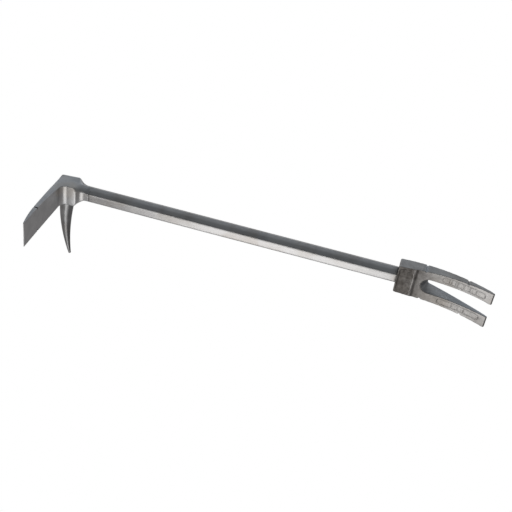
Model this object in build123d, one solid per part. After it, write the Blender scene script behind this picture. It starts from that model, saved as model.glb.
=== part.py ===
from build123d import *
from math import cos, radians, sqrt
import os

# Halligan bar: an adze-and-pick head and a two-tined fork on a hexagonal steel bar.
#
# Millimetres. +X runs along the bar from the head to the fork, the adze reaches
# towards -Y and the pick points towards -Z. Every shape is drawn about the bar's
# axis. At the end all of them move down together, which puts the origin on the
# head's flat striking face, in line with the column that stands over the pick.

# ---------------------------------------------------------------- driving dimensions
OVERALL_LENGTH = 766.0       # adze's outer face to the fork's tips
HEX_FLATS = 25.4             # bar, across flats; flats face front and back
HEX_EDGE_RADIUS = 0.6        # drawn bar's soft long edges

HEAD_OUTER_X = -26.0         # outer face shared by the block and the adze
HEAD_HALF_HEIGHT = 17.6      # block, above and below the bar's axis
COLUMN_FRONT_Y = -21.0       # front of the column over the pick
COLUMN_CORNER_RADIUS = 3.0
COLUMN_RIGHT_X = 12.8
COLUMN_ROOT_RADIUS = 12.0    # fillet between the column and the adze
BLOCK_CORNER_RADIUS = 3.5
BLOCK_BACK_LEFT_Y = 12.4     # back face rises from the outer corner...
BLOCK_BACK_RIGHT_Y = 15.5    # ...to the shoulder above the bar
SHOULDER_X = 6.3             # block's back edges turn down towards the bar here
SHOULDER_FOOT_X = 16.4       # the slope behind the neck aims at the hexagon here
SHOULDER_RADIUS = 6.0
SHOULDER_FOOT_RADIUS = 18.0
NECK_END_X = 32.0            # head ends and the bare bar begins
FRONT_FLARE_RADIUS = 11.5    # fillet from the hexagon's front flat to the column
FLARE_END_X = 29.5           # wider fillets on the flats above and below it end here
FLARE_RADIUS = 21.0

ADZE_TIP_Y = -153.5          # cutting edge
ADZE_BEVEL_Y = -106.0        # outer face starts to curve in to the cutting edge
ADZE_ROOT_Y = -6.0           # head starts to widen into the blade...
ADZE_MIDDLE_Y = -75.0
ADZE_MIDDLE_HALF_WIDTH = 22.8
ADZE_TIP_HALF_WIDTH = 24.1   # ...quickly at first, then hardly at all
ADZE_ROOT_INNER = (-13.3, COLUMN_FRONT_Y)
ADZE_MIDDLE_INNER = (-17.9, -78.0)
ADZE_EDGE_X = -21.0          # inner side of the cutting edge
ADZE_EDGE_THICKNESS = 0.9
ADZE_NOTCH_Y = -105.0        # depth mark filed across both side edges
ADZE_NOTCH_DEPTH = 3.0
ADZE_NOTCH_HALF_WIDTH = 1.3

PICK_X = -8.6                # middle of the pick at the block's underside
PICK_Y = -4.5
PICK_ROOT_RADIUS = 13.2
PICK_TIP_RADIUS = 2.1
PICK_TIP_ROUNDING = 1.7
PICK_FULLNESS = 1.15         # above 1, the middle is a little fatter than a plain cone
PICK_TIP_X = -3.6
PICK_TIP_Z = -138.5
PICK_BELLY_X = -11.4         # furthest out that the curved axis bows
PICK_BELLY_Z = -70.0
PICK_SHANK_RADIUS = 9.0
PICK_SHANK_LENGTH = 24.0

FORK_LENGTH = 159.0
FORK_FRONT_Y = -12.8         # socket's front face, all but flush with the bar's flat
FORK_BACK_Y = 10.7
FORK_ROOT_HALF_HEIGHT = 27.2
FORK_TIP_HALF_HEIGHT = 35.6
FORK_CORNER_RADIUS = 2.8
TINE_FRONT_Y = -11.6         # tines' front face, a small step behind the socket's
TINE_FRONT_RADIUS = 287.0    # the tines' bend, seen from the side
TINE_BACK_RADIUS = 300.0
CROTCH_FRONT_RADIUS = 14.2   # the gap narrows from front to back, like a funnel
CROTCH_BACK_RADIUS = 2.6
CROTCH_BACK_Y = 7.0
CROTCH_LEAN = 0.06           # crotch's middle moves this far towards the tips per mm of depth
TIP_GAP_HALF = 12.0          # half the gap between the tips, in front...
TIP_GAP_BACK_HALF = 9.0      # ...and behind
TIP_GAP_BOW = 0.35           # 0.5 gives the gap straight sides, less bows them in
GAP_FRONT_Y = -40.0          # the gap is cut from this level...
GAP_BACK_Y = 9.0             # ...to this one
GAP_EDGE_RADIUS = 2.0        # rounding where the gap opens at the back
TIP_CHAMFER = 2.4

STEP_RUN = 4.0               # slope from the socket's face down to the tines' face
PANEL_DEPTH = 0.6            # rough cast panel on the socket's front
PANEL_MARGIN = 4.0           # plain rim above and below the panel
PANEL_CORNER_RADIUS = 6.0
OVAL_LENGTH = 71.5           # long oval recess on each tine
OVAL_WIDTH = 11.6
OVAL_DEPTH = 0.7
OVAL_RIM = 1.5               # groove left around the raised pad in each oval
RIB_PITCH = 3.4
RIB_GAP = 1.2
UPPER_RIBS = 14
LOWER_RIBS = 6
FORK_NOTCH_DEPTH = 2.6
FORK_NOTCH_STEEP = 1.7       # notch's short side, towards the socket
FORK_NOTCH_SLOPE = 2.7       # notch's long side, towards the tips

HEAD_TENON_RADIUS = 8.0      # turned ends of the bar
HEAD_TENON_LENGTH = 25.0
FORK_TENON_RADIUS = 8.5
FORK_TENON_LENGTH = 30.0
TENON_CLEARANCE = 0.05
TENON_END_GAP = 0.3

ROLL_PIN_RADIUS = 2.5
ROLL_PIN_WALL = 0.9
ROLL_PIN_SLOT = 1.1
LOCK_PIN_RADIUS = 3.0
PIN_CLEARANCE = 0.02
PIN_BOTTOM_Y = -10.4         # blind ends of the roll pins' holes
PIN_RECESS = 0.8             # roll pins stop below the surface they were driven into
LOCK_PIN_BOTTOM_Y = -16.5
LOCK_PIN_PROUD = 0.6
LOCK_PIN_CHAMFER = 0.5
LOCK_PIN_Z = -6.0

# ---------------------------------------------------------------- worked-out places
HEX_HALF = HEX_FLATS / 2
FORK_TIP_X = HEAD_OUTER_X + OVERALL_LENGTH
FORK_START_X = FORK_TIP_X - FORK_LENGTH
TINE_BEND_X = FORK_START_X + 44.0        # front face starts to curve forward
BACK_BEND_X = FORK_START_X + 7.0         # back face starts to curve forward
CROTCH_CENTRE_X = FORK_START_X + 55.7
SOCKET_STEP_X = FORK_START_X + 28.5      # socket's raised front ends
PANEL_START_X = FORK_START_X + 2.5
PANEL_END_X = FORK_START_X + 26.0
OVAL_MIDDLE_X = FORK_START_X + 110.2
OVAL_MIDDLE_Z = 22.8
FORK_NOTCHES_X = (FORK_START_X + 45.0, FORK_START_X + 115.0)
HEAD_PINS_X = (NECK_END_X - 18.0, NECK_END_X - 8.0)
FORK_PINS_X = (FORK_START_X + 9.0, FORK_START_X + 21.0)
REACH = 220.0                            # longer than any part of the head or fork


def along_y(radius, x, z, start_y, end_y):
    """Round bar parallel to Y."""
    length = end_y - start_y
    return Pos(x, (start_y + end_y) / 2, z) * Rot(X=90) * Cylinder(radius, length)


def along_x(radius, start_x, end_x):
    """Round bar on the axis of the hexagonal bar."""
    length = end_x - start_x
    return Pos((start_x + end_x) / 2, 0, 0) * Rot(Y=90) * Cylinder(radius, length)


def near(shapes, x, y, z=0):
    """The one corner or edge closest to a place."""
    return shapes.sort_by_distance((x, y, z))[0]


# ---------------------------------------------------------------- bar
def pin_holes(places_x):
    """Blind cross holes for a pair of roll pins, drilled from the back."""
    return [along_y(ROLL_PIN_RADIUS, x, 0, PIN_BOTTOM_Y, REACH) for x in places_x]


def make_shaft():
    """Hexagonal bar with a turned tenon on each end."""
    section = Plane.YZ * RegularPolygon(HEX_HALF, 6, major_radius=False, rotation=30)
    bar = extrude(section, FORK_START_X - NECK_END_X)
    bar = fillet(bar.edges().filter_by(Axis.X), HEX_EDGE_RADIUS)
    bar = Pos(NECK_END_X, 0, 0) * bar
    bar += along_x(HEAD_TENON_RADIUS, NECK_END_X - HEAD_TENON_LENGTH, NECK_END_X + 1)
    bar += along_x(FORK_TENON_RADIUS, FORK_START_X - 1, FORK_START_X + FORK_TENON_LENGTH)
    bar -= pin_holes(HEAD_PINS_X)
    bar -= pin_holes(FORK_PINS_X)
    return bar


# ---------------------------------------------------------------- head
def head_plan():
    """Adze, block and neck seen from above."""
    flare_rise = FRONT_FLARE_RADIUS + HEX_HALF + COLUMN_FRONT_Y
    flare_end = (COLUMN_RIGHT_X + sqrt(FRONT_FLARE_RADIUS**2 - flare_rise**2), -HEX_HALF)
    column_corner = (COLUMN_RIGHT_X, COLUMN_FRONT_Y)
    edge_inner = (ADZE_EDGE_X, ADZE_TIP_Y)
    edge_outer = (ADZE_EDGE_X - ADZE_EDGE_THICKNESS, ADZE_TIP_Y)
    bevel_start = (HEAD_OUTER_X, ADZE_BEVEL_Y)
    back_corner = (HEAD_OUTER_X, BLOCK_BACK_LEFT_Y)
    shoulder = (SHOULDER_X, BLOCK_BACK_RIGHT_Y)
    shoulder_foot = (SHOULDER_FOOT_X, HEX_HALF)
    with BuildSketch() as plan:
        with BuildLine():
            Line((NECK_END_X, -HEX_HALF), flare_end)
            TangentArc(flare_end, column_corner, tangent=(-1, 0))
            Line(column_corner, ADZE_ROOT_INNER)
            ThreePointArc(ADZE_ROOT_INNER, ADZE_MIDDLE_INNER, edge_inner)
            Line(edge_inner, edge_outer)
            TangentArc(bevel_start, edge_outer, tangent=(0, -1))
            Line(bevel_start, back_corner)
            Polyline(back_corner, shoulder, shoulder_foot, (NECK_END_X, HEX_HALF),
                     (NECK_END_X, -HEX_HALF))
        make_face()
        fillet(near(plan.vertices(), *column_corner), COLUMN_CORNER_RADIUS)
        fillet(near(plan.vertices(), *ADZE_ROOT_INNER), COLUMN_ROOT_RADIUS)
        fillet(near(plan.vertices(), *back_corner), BLOCK_CORNER_RADIUS)
        fillet(near(plan.vertices(), *shoulder), SHOULDER_RADIUS)
        fillet(near(plan.vertices(), *shoulder_foot), SHOULDER_FOOT_RADIUS)
    return plan.sketch


def blade_side(side):
    """One long side of the blade seen along the bar, as an arc; side is 1 or -1."""
    root = (ADZE_ROOT_Y, side * HEAD_HALF_HEIGHT)
    middle = (ADZE_MIDDLE_Y, side * ADZE_MIDDLE_HALF_WIDTH)
    tip = (ADZE_TIP_Y, side * ADZE_TIP_HALF_WIDTH)
    return ThreePointArc(root, middle, tip)


def head_front_view():
    """Block and blade seen along the bar: the blade widens towards its edge."""
    upper = blade_side(1)
    lower = blade_side(-1)
    back_top = (REACH / 4, HEAD_HALF_HEIGHT)
    back_bottom = (REACH / 4, -HEAD_HALF_HEIGHT)
    outline = upper + lower + Line(upper @ 1, lower @ 1)
    outline += Polyline(upper @ 0, back_top, back_bottom, lower @ 0)
    return Plane.YZ * make_face(outline)


def neck_slab(turn):
    """Space between a flared pair of the hexagon's sides, turned about the bar's axis.

    The front side sweeps out to the column in one fillet. The back side slopes up to
    the shoulder, where it just reaches the block's back edge.
    """
    flare_top = (FLARE_END_X - FLARE_RADIUS, -HEX_HALF - FLARE_RADIUS)
    shoulder = (SHOULDER_X, HEAD_HALF_HEIGHT * cos(radians(30)) + BLOCK_BACK_RIGHT_Y / 2)
    shoulder_foot = (SHOULDER_FOOT_X, HEX_HALF)
    outer_x = HEAD_OUTER_X - 5
    with BuildSketch() as side:
        with BuildLine():
            Line((NECK_END_X, -HEX_HALF), (FLARE_END_X, -HEX_HALF))
            TangentArc((FLARE_END_X, -HEX_HALF), flare_top, tangent=(-1, 0))
            Polyline(flare_top, (flare_top[0], -REACH), (outer_x, -REACH),
                     (outer_x, shoulder[1]), shoulder, shoulder_foot,
                     (NECK_END_X, HEX_HALF), (NECK_END_X, -HEX_HALF))
        make_face()
        fillet(near(side.vertices(), *shoulder), SHOULDER_RADIUS)
        fillet(near(side.vertices(), *shoulder_foot), SHOULDER_FOOT_RADIUS)
    return Rot(X=turn) * extrude(side.sketch, REACH, both=True)


def edge_notch(x, edge, depth, left, right):
    """Outline of a V that opens through an edge at height edge, deepest at x."""
    middle = (x, edge - depth)
    left_mouth = (x - left * 2, edge + depth)
    right_mouth = (x + right * 2, edge + depth)
    return make_face(Polyline(left_mouth, middle, right_mouth, close=True))


def adze_notches():
    """A small V filed across each side edge of the blade."""
    across = Line((ADZE_NOTCH_Y, 0), (ADZE_NOTCH_Y, REACH))
    edge = across.intersect(blade_side(1))[0].Y
    outline = edge_notch(ADZE_NOTCH_Y, edge, ADZE_NOTCH_DEPTH,
                         ADZE_NOTCH_HALF_WIDTH, ADZE_NOTCH_HALF_WIDTH)
    notch = extrude(Plane.YZ * outline, REACH, both=True)
    return [notch, mirror(notch, Plane.XY)]


def pick_shank(radius, length):
    """Round peg, or the bore for it, that rises into the block from below."""
    return Pos(PICK_X, PICK_Y, length / 2 - HEAD_HALF_HEIGHT) * Cylinder(radius, length)


def head_forging():
    """Adze blade, block, column and flared neck, before any hole is drilled."""
    head = extrude(head_plan(), REACH, both=True)
    head &= extrude(head_front_view(), REACH, both=True)
    head &= neck_slab(60)
    head &= neck_slab(-60)
    return head


def make_adze_head():
    """The forging with its depth marks, the bar's socket, the pick's bore and pin holes."""
    head = head_forging()
    head -= adze_notches()
    tenon_bore_start = NECK_END_X - HEAD_TENON_LENGTH - TENON_END_GAP
    head -= along_x(HEAD_TENON_RADIUS + TENON_CLEARANCE, tenon_bore_start, NECK_END_X)
    head -= pick_shank(PICK_SHANK_RADIUS + PIN_CLEARANCE, PICK_SHANK_LENGTH + TENON_END_GAP)
    head -= pin_holes(HEAD_PINS_X)
    head -= along_y(LOCK_PIN_RADIUS, PICK_X, LOCK_PIN_Z, LOCK_PIN_BOTTOM_Y, REACH)
    return head


def make_pick():
    """Curved, tapering spike with a round shank and a shoulder under the block."""
    root = (PICK_X, PICK_Y, -HEAD_HALF_HEIGHT)
    belly = (PICK_BELLY_X, PICK_Y, PICK_BELLY_Z)
    tip = (PICK_TIP_X, PICK_Y, PICK_TIP_Z)
    axis = ThreePointArc(root, belly, tip)
    stations = [0, 0.25, 0.5, 0.75, 1]
    sections = []
    for share in stations:
        taper = share**PICK_FULLNESS
        radius = PICK_ROOT_RADIUS + taper * (PICK_TIP_RADIUS - PICK_ROOT_RADIUS)
        level = Plane(axis @ share, x_dir=(0, 1, 0), z_dir=axis % share)
        if share == 0:
            level = Plane(root, x_dir=(0, 1, 0), z_dir=(0, 0, -1))
        sections.append(level * Circle(radius))
    spike = loft(sections)
    spike = fillet(near(spike.edges(), *tip), PICK_TIP_ROUNDING)
    spike -= head_forging()
    pick = spike + pick_shank(PICK_SHANK_RADIUS, PICK_SHANK_LENGTH)
    pick -= along_y(LOCK_PIN_RADIUS, PICK_X, LOCK_PIN_Z, LOCK_PIN_BOTTOM_Y, REACH)
    return pick


# ---------------------------------------------------------------- fork
def bend_drop(radius, run):
    """How far an arc has fallen after running a distance along X."""
    return radius - sqrt(radius**2 - run**2)


def fork_side_view():
    """Socket and tine seen from above: both faces curve forward and the tine thins."""
    tip_front = (FORK_TIP_X, TINE_FRONT_Y - bend_drop(TINE_FRONT_RADIUS, FORK_TIP_X - TINE_BEND_X))
    tip_back = (FORK_TIP_X, FORK_BACK_Y - bend_drop(TINE_BACK_RADIUS, FORK_TIP_X - BACK_BEND_X))
    bend_start = (TINE_BEND_X, TINE_FRONT_Y)
    with BuildSketch() as side:
        with BuildLine():
            Polyline(
                (BACK_BEND_X, FORK_BACK_Y), (FORK_START_X, FORK_BACK_Y),
                (FORK_START_X, FORK_FRONT_Y), (SOCKET_STEP_X, FORK_FRONT_Y),
                (SOCKET_STEP_X + STEP_RUN, TINE_FRONT_Y), bend_start)
            TangentArc(bend_start, tip_front, tangent=(1, 0))
            Line(tip_front, tip_back)
            TangentArc((BACK_BEND_X, FORK_BACK_Y), tip_back, tangent=(1, 0))
        make_face()
        chamfer(near(side.vertices(), *tip_front), TIP_CHAMFER)
    return side.sketch


def fork_front_view():
    """Whole fork seen from the front, without the gap between the tines."""
    outline = Polyline(
        (FORK_START_X, FORK_ROOT_HALF_HEIGHT), (FORK_TIP_X, FORK_TIP_HALF_HEIGHT),
        (FORK_TIP_X, -FORK_TIP_HALF_HEIGHT), (FORK_START_X, -FORK_ROOT_HALF_HEIGHT), close=True)
    face = make_face(outline)
    corners = face.vertices().sort_by(Axis.X)
    return Plane.XZ * fillet(corners[:2], FORK_CORNER_RADIUS)


def gap_outline(radius, tip_half, side_y):
    """Outline of the tines' gap on one level of Y: a round crotch and two bowed sides."""
    tip_x = FORK_TIP_X + 20
    crotch_x = CROTCH_CENTRE_X + CROTCH_LEAN * (side_y - TINE_FRONT_Y)
    bow_x = (crotch_x + tip_x) / 2
    bow_half = tip_half + TIP_GAP_BOW * (radius - tip_half)
    crotch_top = (crotch_x, radius)
    crotch_bottom = (crotch_x, -radius)
    outline = ThreePointArc(crotch_top, (crotch_x - radius, 0), crotch_bottom)
    outline += ThreePointArc(crotch_bottom, (bow_x, -bow_half), (tip_x, -tip_half))
    outline += Line((tip_x, -tip_half), (tip_x, tip_half))
    outline += ThreePointArc((tip_x, tip_half), (bow_x, bow_half), crotch_top)
    return Plane(origin=(0, side_y, 0), x_dir=(1, 0, 0), z_dir=(0, -1, 0)) * make_face(outline)


def tine_gap():
    """Gap between the tines, wide in front and narrow behind, and nearly even at the tips."""
    slope = (CROTCH_FRONT_RADIUS - CROTCH_BACK_RADIUS) / (CROTCH_BACK_Y - TINE_FRONT_Y)
    front_radius = CROTCH_FRONT_RADIUS + slope * (TINE_FRONT_Y - GAP_FRONT_Y)
    back_radius = CROTCH_BACK_RADIUS - slope * (GAP_BACK_Y - CROTCH_BACK_Y)
    front = gap_outline(front_radius, TIP_GAP_HALF, GAP_FRONT_Y)
    back = gap_outline(back_radius, TIP_GAP_BACK_HALF, GAP_BACK_Y)
    return loft([front, back], ruled=True)


def fork_notches(x):
    """A depth mark across each outer edge of the fork, steep on the socket's side."""
    share = (x - FORK_START_X) / FORK_LENGTH
    edge = FORK_ROOT_HALF_HEIGHT + share * (FORK_TIP_HALF_HEIGHT - FORK_ROOT_HALF_HEIGHT)
    outline = edge_notch(x, edge, FORK_NOTCH_DEPTH, FORK_NOTCH_STEEP, FORK_NOTCH_SLOPE)
    notch = extrude(Plane.XZ * outline, REACH, both=True)
    return [notch, mirror(notch, Plane.XY)]


def oval_groove(ribs):
    """Groove around a raised oval pad, with cross cuts that leave a row of plain ribs."""
    inner_length = OVAL_LENGTH - 2 * OVAL_RIM
    inner_width = OVAL_WIDTH - 2 * OVAL_RIM
    groove = SlotOverall(OVAL_LENGTH, OVAL_WIDTH) - SlotOverall(inner_length, inner_width)
    for number in range(ribs + 1):
        place = (number - ribs / 2) * RIB_PITCH
        groove += Pos(place, 0) * Rectangle(RIB_GAP, inner_width + 0.2)
    return groove


def front_recesses(blank):
    """Shallow recesses that follow the front face: a panel and two ovals."""
    panel_length = PANEL_END_X - PANEL_START_X
    panel_middle = (PANEL_START_X + PANEL_END_X) / 2
    panel_height = 2 * (FORK_ROOT_HALF_HEIGHT - PANEL_MARGIN)
    panel = RectangleRounded(panel_length, panel_height, PANEL_CORNER_RADIUS)
    panel = Pos(panel_middle, 0) * panel
    upper = Pos(OVAL_MIDDLE_X, OVAL_MIDDLE_Z) * oval_groove(UPPER_RIBS)
    lower = Pos(OVAL_MIDDLE_X, -OVAL_MIDDLE_Z) * oval_groove(LOWER_RIBS)
    panel_prism = extrude(Plane.XZ * panel, REACH, both=True)
    oval_prisms = extrude(Plane.XZ * (upper + lower), REACH, both=True)
    panel_skin = blank - Pos(0, PANEL_DEPTH, 0) * blank
    oval_skin = blank - Pos(0, OVAL_DEPTH, 0) * blank
    return [panel_skin & panel_prism, oval_skin & oval_prisms]


def gap_back_edges(fork):
    """Edges where the gap's sides and crotch meet the tines' curved back."""
    inside = fork.edges().filter_by(lambda edge: abs((edge @ 0.5).Z) < TIP_GAP_HALF)
    along = inside.filter_by(lambda edge: CROTCH_CENTRE_X - 10 < (edge @ 0.5).X < FORK_TIP_X - 5)
    return [edge for edge in along if on_tine_back(edge @ 0.5)]


def on_tine_back(point):
    """Whether a point lies on the curved back face of the tines."""
    height = FORK_BACK_Y - bend_drop(TINE_BACK_RADIUS, point.X - BACK_BEND_X)
    return abs(point.Y - height) < 0.1


def make_fork_head():
    """Socket block and two curved tines in one casting."""
    blank = extrude(fork_side_view(), REACH, both=True)
    blank &= extrude(fork_front_view(), REACH, both=True)
    fork = blank - tine_gap()
    fork = fillet(gap_back_edges(fork), GAP_EDGE_RADIUS)
    fork -= front_recesses(blank)
    for x in FORK_NOTCHES_X:
        fork -= fork_notches(x)
    bore_end = FORK_START_X + FORK_TENON_LENGTH + TENON_END_GAP
    fork -= along_x(FORK_TENON_RADIUS + TENON_CLEARANCE, FORK_START_X, bore_end)
    fork -= pin_holes(FORK_PINS_X)
    return fork


# ---------------------------------------------------------------- pins
def roll_pin(x, end_y):
    """Slotted spring-steel tube, driven in along Y and left just below the surface."""
    radius = ROLL_PIN_RADIUS - PIN_CLEARANCE
    start_y = PIN_BOTTOM_Y + PIN_CLEARANCE
    pin = along_y(radius, x, 0, start_y, end_y)
    pin -= along_y(radius - ROLL_PIN_WALL, x, 0, start_y, end_y)
    slot = Box(ROLL_PIN_SLOT, end_y - start_y, radius)
    return pin - Pos(x, (start_y + end_y) / 2, radius / 2) * slot


def make_head_pins():
    """The two roll pins through the neck and the bar's tenon."""
    return Compound([roll_pin(x, HEX_HALF - PIN_RECESS) for x in HEAD_PINS_X])


def make_fork_pins():
    """The two roll pins through the socket and the bar's tenon."""
    return Compound([roll_pin(x, FORK_BACK_Y - PIN_RECESS) for x in FORK_PINS_X])


def make_lock_pin():
    """Plain pin through the block and the pick's shank."""
    start_y = LOCK_PIN_BOTTOM_Y + PIN_CLEARANCE
    end_y = BLOCK_BACK_LEFT_Y + LOCK_PIN_PROUD
    pin = along_y(LOCK_PIN_RADIUS - PIN_CLEARANCE, PICK_X, LOCK_PIN_Z, start_y, end_y)
    return chamfer(pin.faces().sort_by(Axis.Y)[-1].edges(), LOCK_PIN_CHAMFER)


PIECES = {
    "shaft": make_shaft,
    "adze_head": make_adze_head,
    "pick": make_pick,
    "fork_head": make_fork_head,
    "head_roll_pins": make_head_pins,
    "fork_roll_pins": make_fork_pins,
    "pick_lock_pin": make_lock_pin,
}

os.makedirs("parts", exist_ok=True)
for name, make in PIECES.items():
    export_step(Pos(0, 0, -HEAD_HALF_HEIGHT) * make(), f"parts/{name}.step")
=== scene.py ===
import math

import bmesh
import bpy
from mathutils import Matrix, Vector, noise


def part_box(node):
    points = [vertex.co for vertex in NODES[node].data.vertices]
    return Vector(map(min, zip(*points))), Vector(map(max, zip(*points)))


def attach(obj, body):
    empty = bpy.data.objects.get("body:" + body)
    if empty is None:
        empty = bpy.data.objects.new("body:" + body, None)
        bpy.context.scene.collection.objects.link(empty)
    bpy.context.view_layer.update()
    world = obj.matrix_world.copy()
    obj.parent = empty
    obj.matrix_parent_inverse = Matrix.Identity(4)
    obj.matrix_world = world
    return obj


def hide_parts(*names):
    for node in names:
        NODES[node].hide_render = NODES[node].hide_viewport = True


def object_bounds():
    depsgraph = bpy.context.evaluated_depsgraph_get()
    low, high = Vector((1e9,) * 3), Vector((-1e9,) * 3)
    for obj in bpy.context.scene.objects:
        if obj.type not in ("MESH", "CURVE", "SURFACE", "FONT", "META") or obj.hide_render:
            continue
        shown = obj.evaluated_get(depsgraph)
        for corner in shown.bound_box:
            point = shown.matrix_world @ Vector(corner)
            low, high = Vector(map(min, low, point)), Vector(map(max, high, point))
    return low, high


# Halligan bar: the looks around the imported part. Metres, in the part's own frame: +X runs
# along the bar from the head to the fork, the adze reaches to -Y and the pick to -Z.

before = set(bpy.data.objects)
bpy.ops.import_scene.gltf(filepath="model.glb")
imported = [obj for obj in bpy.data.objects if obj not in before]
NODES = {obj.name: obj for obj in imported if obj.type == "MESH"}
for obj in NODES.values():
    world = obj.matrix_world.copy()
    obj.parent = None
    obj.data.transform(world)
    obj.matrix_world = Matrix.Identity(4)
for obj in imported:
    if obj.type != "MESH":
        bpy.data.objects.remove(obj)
cad_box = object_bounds()

# Places on the part
ADZE_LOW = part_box("adze_head")[0]
FORK_LOW, FORK_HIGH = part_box("fork_head")
BAR_Z = sum(corner.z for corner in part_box("shaft")) / 2      # height of the bar's axis
NOTCH_Y = ADZE_LOW.y + 0.0485              # depth mark across the adze's side edges
NOTCH_HALF = 0.0014
NOTCH_FLOOR = 0.0202                       # from the axis to the notches' floors
RIM_X = FORK_LOW.x + 0.0275                # rounded rim where the socket's rough panel ends
RIM_HALF = 0.0215                          # from the axis to the rim's sides
RIM_CORNER = 0.009
RIM_SPREAD = 0.0018                        # half the rim's thickness
RIM_HEIGHT = 0.0006
FORK_TIP = FORK_HIGH.x
TINE_OUTSIDE = FORK_HIGH.z - BAR_Z         # from the axis to the outer side of a tine's tip

# Finishing of the shaped copies
SAME_POINT = 0.00002                       # points closer than this are one point
HEAD_EDGE = 0.0006                         # width of the rounding on the head's edges
FORK_VOXEL = 0.0006
FORK_ROUNDS = 4                            # smoothing of the whole casting
TIP_ROUNDS = 10                            # and more of it on the ends of the tips
TIP_REACH = 0.004                          # how far in from the tips that goes

# Finishing of the surfaces
WEAR_AND_HIGHLIGHT_RADIUS = 0.0012                       # how far in from an edge the polish and its painted highlight reach
# how far the painted shade in grooves and corners reaches
CREVICE_SHADE_REACH = 0.003
BUMP_HEIGHT = 0.00012
PATCH_GRAIN = 55.0                         # patches about 2 cm across, per metre
CLOUD_GRAIN = 17.0                         # stains about 6 cm across
PIT_GRAIN = 900.0                          # pits about 1 mm across
SKIN_GRAIN = 120.0                         # patches in the foundry skin, about 8 mm across

# Colours
WHITE = (1.0, 1.0, 1.0, 1.0)
BLACK = (0.01, 0.01, 0.01, 1.0)
# colour of the painted shade in grooves and corners
CREVICE_SHADE_COLOUR = (0.035, 0.033, 0.031, 1.0)
# dark foundry skin, and the painted shade on the very tips of the tines
FOUNDRY_SKIN_AND_TIP_SHADE = (0.085, 0.078, 0.072, 1.0)
GROUND_METAL = (0.56, 0.58, 0.605, 1.0)
# darker at the back of the head's top and underside
HEAD_BACK_DARK = (0.14, 0.15, 0.165, 1.0)
# pick darker towards its point, and painted shade on its side that looks along the bar
PICK_DARK_AND_SIDE_SHADE = (0.09, 0.09, 0.095, 1.0)
BROWN_STAIN = (0.30, 0.25, 0.20)
STRAW_STAIN = (0.48, 0.445, 0.40)

# Camera, at the photo's angle
CAMERA_PLACE = (0.5512, -1.3162, 0.9689)
CAMERA_YAW = 9.1452                        # degrees to the left of +Y
CAMERA_TILT = 52.4167                      # degrees up from looking straight down
CAMERA_ROLL = 9.1783                       # degrees to the left
CAMERA_LENS = 68.13                        # mm, on a sensor 36 mm wide
CAMERA_SHIFT = 0.0007


# ---------------------------------------------------------------- node helpers
def add(tree, kind, inputs=None, **settings):
    """One shader node; inputs are values or sockets to link, by name or number."""
    made = tree.nodes.new("ShaderNode" + kind)
    for name, value in settings.items():
        setattr(made, name, value)
    for name, value in (inputs or {}).items():
        if isinstance(value, bpy.types.NodeSocket):
            tree.links.new(value, made.inputs[name])
        else:
            made.inputs[name].default_value = value
    return made


def maths(tree, operation, first, second=0.0):
    """Result of one sum on two values or sockets."""
    return add(tree, "Math", {0: first, 1: second}, operation=operation).outputs[0]


def product(tree, first, *others):
    """All the given values or sockets multiplied."""
    for other in others:
        first = maths(tree, "MULTIPLY", first, other)
    return first


def total(tree, first, *others):
    """All the given values or sockets added up."""
    for other in others:
        first = maths(tree, "ADD", first, other)
    return first


def distance(tree, value, centre):
    """How far a value is from a centre, on either side of it."""
    return maths(tree, "ABSOLUTE", total(tree, value, -centre))


def xyz(tree, vector):
    """The three parts of a vector."""
    parts = add(tree, "SeparateXYZ", {0: vector}).outputs
    return parts["X"], parts["Y"], parts["Z"]


def facing(tree):
    """The three parts of the direction that the surface faces."""
    return xyz(tree, add(tree, "NewGeometry").outputs["Normal"])


def between(tree, value, low, high):
    """Value stretched so that low becomes 0 and high becomes 1, and held there."""
    made = add(tree, "MapRange", {"Value": value, "From Min": low, "From Max": high},
               interpolation_type="SMOOTHSTEP")
    return made.outputs["Result"]


def mixed(tree, share, first, second):
    """Colour that goes from first to second as share goes from 0 to 1."""
    made = add(tree, "Mix", {"Factor": share, "A": first, "B": second}, data_type="RGBA")
    return made.outputs["Result"]


def grain(tree, place, scale, detail=4.0, roughness=0.55, stretch=(1, 1, 1)):
    """Noise with features of about 1/scale metres, drawn out by stretch."""
    turned = add(tree, "Mapping", {"Vector": place, "Scale": stretch}).outputs[0]
    made = add(tree, "TexNoise", {"Vector": turned, "Scale": scale, "Detail": detail,
                                  "Roughness": roughness})
    return made.outputs["Fac"]


def edge_wear_and_highlight(tree):
    """Mask for edge wear and a painted highlight: 1 along sharp outer edges and corners, 0 on flat
    ground.
    """
    soft = add(tree, "Bevel", {"Radius": WEAR_AND_HIGHLIGHT_RADIUS}, samples=6).outputs[0]
    hard = add(tree, "NewGeometry").outputs["Normal"]
    cosine = add(tree, "VectorMath", {0: soft, 1: hard}, operation="DOT_PRODUCT")
    return between(tree, cosine.outputs["Value"], 0.995, 0.90)


def painted_crevice_shade(tree):
    """Painted shade: 1 deep in grooves and corners, 0 on open ground."""
    shade = add(tree, "AmbientOcclusion", {"Distance": CREVICE_SHADE_REACH}, samples=8)
    return between(tree, shade.outputs["AO"], 0.82, 0.45)


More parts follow.
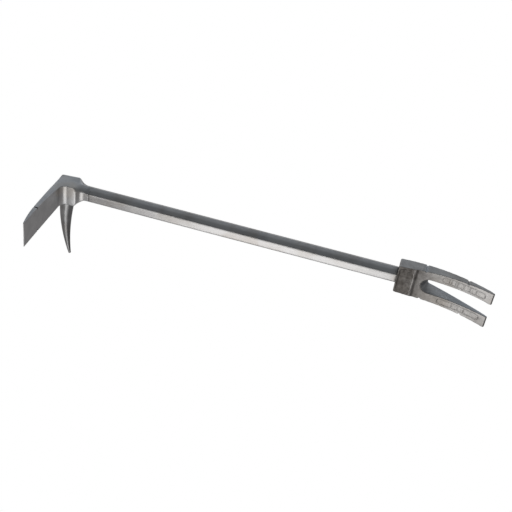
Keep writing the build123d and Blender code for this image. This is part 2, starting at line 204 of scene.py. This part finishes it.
# ---------------------------------------------------------------- steels
def steel(name, bright, dull, roughness, streaks, patches=0.5, pits=0.15, wear=0.6,
          stain=BROWN_STAIN, staining=0.3, crevice_shading=0.9, shoulder=None, skin=None):
    """Worked steel with grinding marks, patches, stains, edges brightened by wear plus a
    painted highlight, and painted shade in its grooves.

    bright and dull are the metal's two shades. streaks stretches the grinding marks: the
    axis that they run along has the smallest number. patches, pits, wear (edge wear plus
    painted highlight), staining and the painted shade in grooves are strengths from 0 to 1.
    shoulder(tree, place) makes how far in from each edge the flats start to turn, and
    skin(tree, place) makes the share and the colour of what covers the metal: foundry skin,
    plain darkening and painted shade.
    """
    material = bpy.data.materials.new(name)
    material.use_nodes = True
    tree = material.node_tree
    shader = tree.nodes["Principled BSDF"]
    place = add(tree, "TexCoord").outputs["Object"]

    marks = grain(tree, place, 1.0, detail=3.0, stretch=streaks)
    broad = grain(tree, place, PATCH_GRAIN)
    cloud = grain(tree, place, CLOUD_GRAIN, detail=3.0)
    fine = grain(tree, place, PIT_GRAIN, detail=2.0)
    worn_and_highlit = edge_wear_and_highlight(tree)

    tone = total(tree, product(tree, broad, patches), product(tree, marks, 1 - patches))
    metal = mixed(tree, between(tree, tone, 0.36, 0.64), (*dull, 1), (*bright, 1))
    stained = product(tree, between(tree, cloud, 0.46, 0.68), staining)
    metal = mixed(tree, stained, metal, (*stain, 1))
    # what the skin function lays over the metal: foundry skin, plain darkening and painted shade
    if skin is not None:
        share, skin_and_shade_colour = skin(tree, place)
        metal = mixed(tree, share, metal, skin_and_shade_colour)
    # painted shade darkens grooves and corners
    metal = mixed(tree, product(tree, painted_crevice_shade(tree), crevice_shading), metal, CREVICE_SHADE_COLOUR)
    # edges lighter in colour: partly wear, partly a painted highlight
    polish_and_highlight = tuple(min(1.0, 1.3 * value) for value in bright)
    metal = mixed(tree, product(tree, worn_and_highlit, wear), metal, (*polish_and_highlight, 1))

    shine = total(tree, product(tree, broad, 0.20), roughness - 0.10)
    shine = maths(tree, "SUBTRACT", shine, product(tree, worn_and_highlit, 0.10 * wear))

    relief = total(tree, product(tree, marks, 0.6), product(tree, fine, pits))
    bump = add(tree, "Bump", {"Height": relief, "Strength": 0.35, "Distance": BUMP_HEIGHT})
    if shoulder is not None:
        soft = add(tree, "Bevel", {"Radius": shoulder(tree, place)}, samples=8)
        tree.links.new(soft.outputs[0], bump.inputs["Normal"])

    tree.links.new(metal, shader.inputs["Base Color"])
    tree.links.new(shine, shader.inputs["Roughness"])
    tree.links.new(bump.outputs[0], shader.inputs["Normal"])
    shader.inputs["Metallic"].default_value = 1.0
    return material


def casting_skin_and_tip_shade(tree, place):
    """Dark foundry skin on the fork's front, thickest on the socket's panel.

    It thins out on the rim and towards the tips, and comes back on the lower tine's end. On the
    last few millimetres of both tips the same dark colour is painted shade. The metal is ground
    between the tines and on their backs.
    """
    along, _, height = xyz(tree, place)
    _, facing_y, _ = facing(tree)
    front = between(tree, facing_y, -0.60, -0.90)

    fading = between(tree, along, FORK_TIP, RIM_X)
    socket = between(tree, along, RIM_X + 0.024, RIM_X - 0.004)
    rim = between(tree, distance(tree, along, RIM_X), 0.0030, 0.0008)
    patchy = total(tree, grain(tree, place, SKIN_GRAIN, detail=5.0, roughness=0.7), -0.5)
    share = total(tree, product(tree, fading, 0.48), product(tree, socket, 0.42),
                  product(tree, patchy, 0.8), product(tree, rim, -0.35))
    share = product(tree, share, total(tree, product(tree, front, 0.90), 0.10))

    lower = between(tree, height, BAR_Z - 0.010, BAR_Z - 0.020)
    lower_end = between(tree, along, FORK_TIP - 0.060, FORK_TIP - 0.015)
    # painted shade on the last few millimetres of both tips
    ends = between(tree, along, FORK_TIP - 0.0034, FORK_TIP - 0.0014)
    share = total(tree, share, product(tree, lower, lower_end, front, 0.26),
                  product(tree, ends, 0.6))
    share = add(tree, "Clamp", {0: share}).outputs[0]

    off_axis = distance(tree, height, BAR_Z)
    ground_here = product(tree,
                          between(tree, off_axis, TINE_OUTSIDE - 0.0045, TINE_OUTSIDE - 0.0075),
                          between(tree, along, RIM_X + 0.010, RIM_X + 0.016),
                          between(tree, facing_y, -0.75, -0.45))
    share = maths(tree, "MAXIMUM", share, ground_here)
    return share, mixed(tree, ground_here, FOUNDRY_SKIN_AND_TIP_SHADE, GROUND_METAL)


def head_darkening(tree, place):
    """Darker at the back of the head's top and underside, and black in the notches."""
    _, depth, height = xyz(tree, place)
    off_axis = distance(tree, height, BAR_Z)
    # darker towards the back of the head's top and underside
    scale = product(tree, between(tree, depth, -0.002, 0.012),
                    between(tree, off_axis, 0.013, 0.017), 0.30)
    notch = product(tree,
                    between(tree, distance(tree, depth, NOTCH_Y), NOTCH_HALF + 0.0002, NOTCH_HALF),
                    between(tree, off_axis, NOTCH_FLOOR, NOTCH_FLOOR + 0.0004))
    return maths(tree, "MAXIMUM", scale, notch), mixed(tree, notch, HEAD_BACK_DARK, BLACK)


def pick_darkening_and_side_shade(tree, place):
    """Darker towards the pick's point, and painted shade on its side that looks along the bar."""
    _, _, height = xyz(tree, place)
    facing_x, _, _ = facing(tree)
    point = product(tree, between(tree, height, -0.070, -0.115), 0.22)
    # painted shade on the side that faces along the bar
    side = product(tree, between(tree, facing_x, 0.38, 0.72), 0.46)
    return total(tree, point, side), PICK_DARK_AND_SIDE_SHADE


def head_shoulder(tree, place):
    """Narrow rounding on the block, and a wide one where its top runs into the neck."""
    along, _, height = xyz(tree, place)
    neck = product(tree, between(tree, along, 0.006, 0.014), between(tree, along, 0.031, 0.025),
                   between(tree, height, BAR_Z + 0.006, BAR_Z + 0.010))
    return total(tree, product(tree, neck, 0.010), 0.0018)


def bar_shoulder(tree, place):
    """Rounding of the bar's edges, widest along its top edge."""
    _, _, height = xyz(tree, place)
    top = between(tree, height, BAR_Z + 0.0085, BAR_Z + 0.0125)
    return total(tree, product(tree, top, 0.010), 0.0055)


def forged_steel():
    """Ground forging, straw-stained in places."""
    return steel("forged_steel", (0.58, 0.585, 0.595), (0.46, 0.47, 0.485), 0.36,
                 (250, 900, 900), stain=STRAW_STAIN, staining=0.6, crevice_shading=0.7,
                 shoulder=head_shoulder, skin=head_darkening)


def cast_steel():
    """Sand casting under what is left of its foundry skin."""
    return steel("cast_steel", (0.56, 0.555, 0.55), (0.42, 0.41, 0.405), 0.40,
                 (300, 500, 500), patches=0.7, pits=0.2, wear=0.9, skin=casting_skin_and_tip_shade)


def drawn_steel():
    """Bright bar stock with fine marks along it."""
    return steel("drawn_steel", (0.60, 0.60, 0.60), (0.52, 0.52, 0.53), 0.33,
                 (60, 1200, 1200), crevice_shading=0.4, shoulder=bar_shoulder)


def pick_steel():
    """Darker ground steel with marks down the pick."""
    return steel("pick_steel", (0.42, 0.425, 0.43), (0.32, 0.325, 0.33), 0.32,
                 (900, 900, 80), patches=0.8, skin=pick_darkening_and_side_shade)


def pin_steel():
    """Dull grey pins."""
    return steel("pin_steel", (0.38, 0.38, 0.38), (0.28, 0.28, 0.28), 0.34, (900, 900, 900))


def dress(material, *pieces):
    """Gives pieces one material in place of what they came with."""
    for piece in pieces:
        piece.data.materials.clear()
        piece.data.materials.append(material)


# ---------------------------------------------------------------- shaped pieces
def joined_copy(node, name):
    """A copy of a CAD node whose faces are joined along their shared edges."""
    piece = bpy.data.objects.new(name, NODES[node].data.copy())
    bpy.context.scene.collection.objects.link(piece)
    piece.modifiers.new("joined", "WELD").merge_threshold = SAME_POINT
    return piece


def settled(piece):
    """The mesh that a piece has after its modifiers."""
    graph = bpy.context.evaluated_depsgraph_get()
    return bpy.data.meshes.new_from_object(piece.evaluated_get(graph), depsgraph=graph)


def remeshed(node, name, voxel):
    """A copy of a CAD node with an even, fine mesh."""
    piece = joined_copy(node, name)
    even = piece.modifiers.new("even", "REMESH")
    even.mode = "VOXEL"
    even.voxel_size = voxel
    even.use_smooth_shade = True
    mesh = settled(piece)
    piece.modifiers.clear()
    piece.data = mesh
    mesh.name = name
    return piece


def eased(node, name, width):
    """A copy of a CAD node whose sharp edges have a small rounding of their own.

    The mesh is built afresh, so it has none of the CAD mesh's own shading directions.
    """
    piece = joined_copy(node, name)
    easing = piece.modifiers.new("easing", "BEVEL")
    easing.width = width
    easing.segments = 3
    easing.limit_method = "ANGLE"
    easing.angle_limit = math.radians(28)
    rounded = settled(piece)
    mesh = bpy.data.meshes.new(name)
    mesh.from_pydata([v.co[:] for v in rounded.vertices], [],
                     [face.vertices[:] for face in rounded.polygons])
    bpy.data.meshes.remove(rounded)
    piece.modifiers.clear()
    piece.data = mesh
    mesh.shade_smooth()
    mesh.set_sharp_from_angle(angle=math.radians(35))
    return piece


def smoothed(mesh, points, rounds):
    """Evens out the given points of a mesh, which rounds the edges among them."""
    for _ in range(rounds):
        bmesh.ops.smooth_vert(mesh, verts=points, factor=0.5, use_axis_x=True,
                              use_axis_y=True, use_axis_z=True)


def worked(piece, relief, blunted):
    """Wears the edges round, then moves each point in or out by relief(place, normal).

    Edges wear most where blunted(place) is true, and no point leaves the piece's first box.
    """
    mesh = bmesh.new()
    mesh.from_mesh(piece.data)
    low = Vector([min(v.co[axis] for v in mesh.verts) for axis in range(3)])
    high = Vector([max(v.co[axis] for v in mesh.verts) for axis in range(3)])
    smoothed(mesh, mesh.verts, FORK_ROUNDS)
    smoothed(mesh, [v for v in mesh.verts if blunted(v.co)], TIP_ROUNDS)
    mesh.normal_update()
    moves = [v.normal * relief(v.co, v.normal) for v in mesh.verts]
    for vertex, move in zip(mesh.verts, moves):
        place = vertex.co + move
        vertex.co = Vector([min(max(place[i], low[i]), high[i]) for i in range(3)])
    mesh.to_mesh(piece.data)
    mesh.free()
    for face in piece.data.polygons:
        face.use_smooth = True


def waves(place, size, seed):
    """Smooth noise from -1 to 1 with bumps about size metres across."""
    return noise.noise(place / size + Vector((seed, seed, seed)))


def raised_rim(place):
    """Share of the rounded rim that borders the socket's panel on the tines' side.

    It runs straight across the socket, turns two corners and fades out along the sides.
    """
    off_axis = abs(place.z - BAR_Z)
    along = place.x - (RIM_X - RIM_CORNER)
    if along < 0:
        off_rim = abs(off_axis - RIM_HALF)
        fade = max(0.0, 1 + along / 0.006)
    else:
        across = max(0.0, off_axis - (RIM_HALF - RIM_CORNER))
        off_rim = abs(math.hypot(along, across) - RIM_CORNER)
        fade = 1.0
    return fade * math.exp(-(off_rim / RIM_SPREAD)**2)


def cast_relief(place, normal):
    """Sand-cast skin: gently wavy everywhere, and coarse on the socket's front panel."""
    relief = 0.00006 * waves(place, 0.012, 5.0) + 0.000012 * waves(place, 0.003, 2.0)
    front = max(0.0, -normal.y - 0.5) * 2
    if front == 0.0 or place.x > RIM_X + 0.010:
        return relief
    inside = min(1.0, max(0.0, (RIM_X - place.x) / 0.004))
    coarse = 0.00022 * waves(place, 0.0055, 7.0) + 0.00007 * waves(place, 0.0023, 1.0)
    return relief + front * (inside * coarse + RIM_HEIGHT * raised_rim(place))


def at_tip(place):
    """Whether a point is on the last few millimetres of a tine."""
    return place.x > FORK_TIP - TIP_REACH


def make_head():
    """The forged head, with its edges ground soft."""
    piece = eased("adze_head", "adze_head_forging", HEAD_EDGE)
    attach(piece, "root")
    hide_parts("adze_head")
    return piece


def make_fork():
    """The cast fork, with soft edges and a rough panel on the socket's front."""
    piece = remeshed("fork_head", "fork_head_casting", FORK_VOXEL)
    worked(piece, cast_relief, at_tip)
    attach(piece, "root")
    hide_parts("fork_head")
    return piece


# ---------------------------------------------------------------- studio
def make_camera():
    """Camera above and in front of the bar, level with neither the bar nor the floor."""
    data = bpy.data.cameras.new("camera")
    data.sensor_width = 36.0
    data.lens = CAMERA_LENS
    data.shift_y = CAMERA_SHIFT
    data.clip_end = 20
    camera = bpy.data.objects.new("camera", data)
    bpy.context.scene.collection.objects.link(camera)
    camera.matrix_world = (Matrix.Translation(CAMERA_PLACE)
                           @ Matrix.Rotation(math.radians(CAMERA_YAW), 4, "Z")
                           @ Matrix.Rotation(math.radians(CAMERA_TILT), 4, "X")
                           @ Matrix.Rotation(math.radians(CAMERA_ROLL), 4, "Z"))
    bpy.context.scene.camera = camera


def make_world():
    """White to the camera, and a dim, soft room to everything that the steel mirrors.

    The room's ceiling brightens towards the back, and its table straight below. A light band
    lies along the horizon at the back, and another in front.
    """
    world = bpy.data.worlds.new("studio")
    bpy.context.scene.world = world
    world.use_nodes = True
    tree = world.node_tree
    background = tree.nodes["Background"]
    _, backward, upward = xyz(tree, add(tree, "TexCoord").outputs["Generated"])

    ceiling = mixed(tree, between(tree, backward, -0.45, 0.80), (0.10, 0.105, 0.11, 1),
                    (0.36, 0.38, 0.40, 1))
    table = mixed(tree, between(tree, upward, -0.70, -0.95), (0.28, 0.27, 0.265, 1),
                  (0.42, 0.42, 0.42, 1))
    room = mixed(tree, between(tree, upward, -0.10, 0.20), table, ceiling)

    back_band = product(tree, between(tree, distance(tree, upward, 0.12), 0.24, 0.04),
                        between(tree, backward, 0.60, 0.90))
    room = mixed(tree, back_band, room, (0.85, 0.87, 0.90, 1))
    front_band = product(tree, between(tree, distance(tree, upward, -0.05), 0.30, 0.12),
                         between(tree, backward, -0.70, -0.90))
    room = mixed(tree, front_band, room, (1.30, 1.28, 1.25, 1))

    seen = add(tree, "LightPath").outputs["Is Camera Ray"]
    tree.links.new(mixed(tree, seen, room, WHITE), background.inputs["Color"])


def floor_material():
    """White from above and clear from below."""
    material = bpy.data.materials.new("floor")
    material.use_nodes = True
    tree = material.node_tree
    tree.nodes.remove(tree.nodes["Principled BSDF"])
    glow = add(tree, "Emission", {"Color": WHITE})
    clear = add(tree, "BsdfTransparent")
    under = add(tree, "NewGeometry").outputs["Backfacing"]
    either = add(tree, "MixShader", {0: under, 1: glow.outputs[0], 2: clear.outputs[0]})
    tree.links.new(either.outputs[0], tree.nodes["Material Output"].inputs["Surface"])
    return material


def make_floor():
    """Plain white floor under the pick's tip.

    Only the camera sees it, so it neither shades the low softbox nor mirrors in the steel.
    """
    low, high = cad_box
    half = 4.0
    corners = [(-half, -half, 0), (half, -half, 0), (half, half, 0), (-half, half, 0)]
    mesh = bpy.data.meshes.new("floor")
    mesh.from_pydata(corners, [], [(0, 1, 2, 3)])
    mesh.materials.append(floor_material())
    floor = bpy.data.objects.new("floor", mesh)
    bpy.context.scene.collection.objects.link(floor)
    floor.location = ((low.x + high.x) / 2, 0, low.z - 0.01)
    floor.visible_glossy = False
    floor.visible_diffuse = False
    floor.visible_shadow = False


def make_softbox():
    """Low, wide, soft light in front, which the bar's front flat mirrors.

    The camera doesn't see it.
    """
    low, high = cad_box
    target = Vector(((low.x + high.x) / 2 - 0.07, 0, BAR_Z))
    width, height = 0.75, 0.5
    radiance = 1.45
    data = bpy.data.lights.new("front", "AREA")
    data.shape = "RECTANGLE"
    data.size = width
    data.size_y = height
    data.energy = radiance * math.pi * width * height
    data.color = (1.0, 0.985, 0.965)
    light = bpy.data.objects.new("front", data)
    bpy.context.scene.collection.objects.link(light)
    light.location = target + Vector((0, -0.80, -0.60))
    light.rotation_euler = (target - light.location).to_track_quat("-Z", "Y").to_euler()
    light.visible_camera = False


# ---------------------------------------------------------------- scene
head = make_head()
fork = make_fork()

dress(forged_steel(), head)
dress(cast_steel(), fork)
dress(drawn_steel(), NODES["shaft"])
dress(pick_steel(), NODES["pick"])
dress(pin_steel(), NODES["head_roll_pins"], NODES["fork_roll_pins"], NODES["pick_lock_pin"])

make_camera()
make_world()
make_floor()
make_softbox()
bpy.context.scene.view_settings.view_transform = "Standard"
